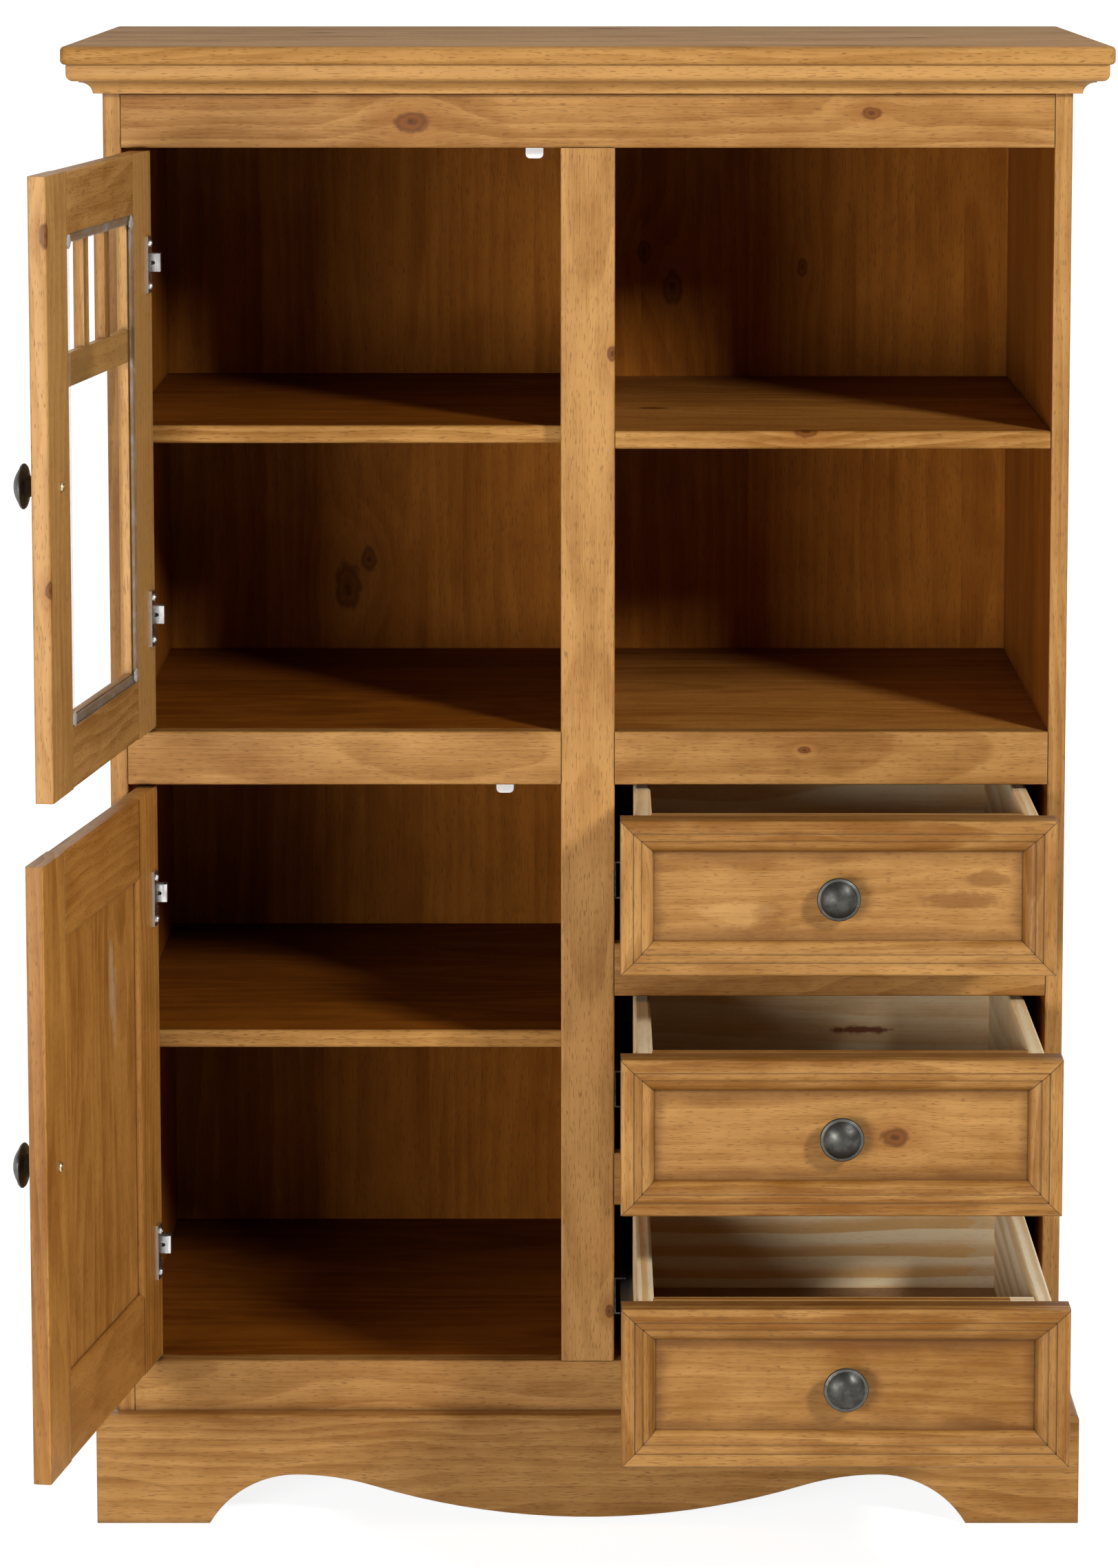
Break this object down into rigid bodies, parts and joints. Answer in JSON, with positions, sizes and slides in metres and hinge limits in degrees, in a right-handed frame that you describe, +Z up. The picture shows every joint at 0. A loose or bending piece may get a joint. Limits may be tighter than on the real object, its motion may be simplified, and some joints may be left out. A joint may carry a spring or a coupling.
{
  "type": "highboard",
  "caption": "Pine highboard with an overhanging top, a glazed door over a panelled door, open shelves over drawers and a scalloped plinth, for dishes and linen",
  "frame": {"origin": "on the floor, mid-width, at the back face of the carcass", "axes": "+X to the right seen from the front, +Y to the back, +Z up"},
  "size_m": [0.9407, 0.8733, 1.3335],
  "materials": {
    "stained_pine": "honey stain under satin wax, horizontal or vertical grain and knots",
    "inside_pine": "the same stain, matt",
    "drawer_pine": "bare pale pine",
    "drawer_base": "thin brown board",
    "dark_metal": "dark pewter, polished on the dome",
    "bright_steel": "bright nickel plate",
    "runner_steel": "zinc-plated sheet",
    "white_plastic": "white moulded plastic",
    "clear_plastic": "clear glazing strip",
    "clear_glass": "clear float glass"
  },
  "bodies": {
    "carcass": {"side_panel_left": "stained_pine", "side_panel_right": "stained_pine", "centre_stile": "stained_pine", "top_rail": "stained_pine", "mid_rails": "stained_pine", "drawer_rails": "stained_pine", "bottom_rail": "stained_pine", "cornice_front": "stained_pine", "cornice_sides": "stained_pine", "cornice_back_rail": "stained_pine", "top_slab": "stained_pine", "plinth_front": "stained_pine", "plinth_sides": "stained_pine", "centre_partition": "inside_pine", "top_panel": "inside_pine", "mid_deck_left": "inside_pine", "mid_deck_right": "inside_pine", "bottom_deck": "inside_pine", "shelf_upper_left": "inside_pine", "shelf_upper_right": "inside_pine", "shelf_lower_left": "inside_pine", "back_panel": "inside_pine", "runner_battens": "inside_pine", "plinth_rear_rail": "inside_pine", "plinth_corner_blocks": "inside_pine", "hinge_arms": "bright_steel", "shelf_pins": "bright_steel", "runner_channels": "runner_steel", "door_catches": "white_plastic"},
    "upper_door": {"upper_door_stiles": "stained_pine", "upper_door_rails": "stained_pine", "upper_door_crossbar": "stained_pine", "upper_door_muntins": "stained_pine", "upper_door_hinge_leaves": "bright_steel", "upper_door_glazing_strips": "clear_plastic", "upper_door_glass": "clear_glass", "upper_door_knob": "dark_metal"},
    "lower_door": {"lower_door_stiles": "stained_pine", "lower_door_rails": "stained_pine", "lower_door_panel": "stained_pine", "lower_door_hinge_leaves": "bright_steel", "lower_door_knob": "dark_metal"},
    "upper_drawer": {"upper_drawer_panel": "stained_pine", "upper_drawer_mouldings": "stained_pine", "upper_drawer_runners": "runner_steel", "upper_drawer_knob": "dark_metal", "upper_drawer_box": "drawer_pine", "upper_drawer_bottom": "drawer_base"},
    "middle_drawer": {"middle_drawer_panel": "stained_pine", "middle_drawer_mouldings": "stained_pine", "middle_drawer_runners": "runner_steel", "middle_drawer_knob": "dark_metal", "middle_drawer_box": "drawer_pine", "middle_drawer_bottom": "drawer_base"},
    "lower_drawer": {"lower_drawer_panel": "stained_pine", "lower_drawer_mouldings": "stained_pine", "lower_drawer_runners": "runner_steel", "lower_drawer_knob": "dark_metal", "lower_drawer_box": "drawer_pine", "lower_drawer_bottom": "drawer_base"}
  },
  "joints": [
    {"name": "upper_door_hinge", "type": "hinge", "parent": "carcass", "child": "upper_door", "pos_m": [-0.3972, -0.487, 0.9835], "axis": [0, 0, -1], "range_deg": [-98, 7]},
    {"name": "lower_door_hinge", "type": "hinge", "parent": "carcass", "child": "lower_door", "pos_m": [-0.3972, -0.487, 0.41075], "axis": [0, 0, -1], "range_deg": [-99.5, 5.5]},
    {"name": "upper_drawer_slide", "type": "slide", "parent": "carcass", "child": "upper_drawer", "axis": [0, -1, 0], "range_m": [-0.152, 0.193]},
    {"name": "middle_drawer_slide", "type": "slide", "parent": "carcass", "child": "middle_drawer", "axis": [0, -1, 0], "range_m": [-0.23, 0.115]},
    {"name": "lower_drawer_slide", "type": "slide", "parent": "carcass", "child": "lower_drawer", "axis": [0, -1, 0], "range_m": [-0.32, 0.025]}
  ]
}
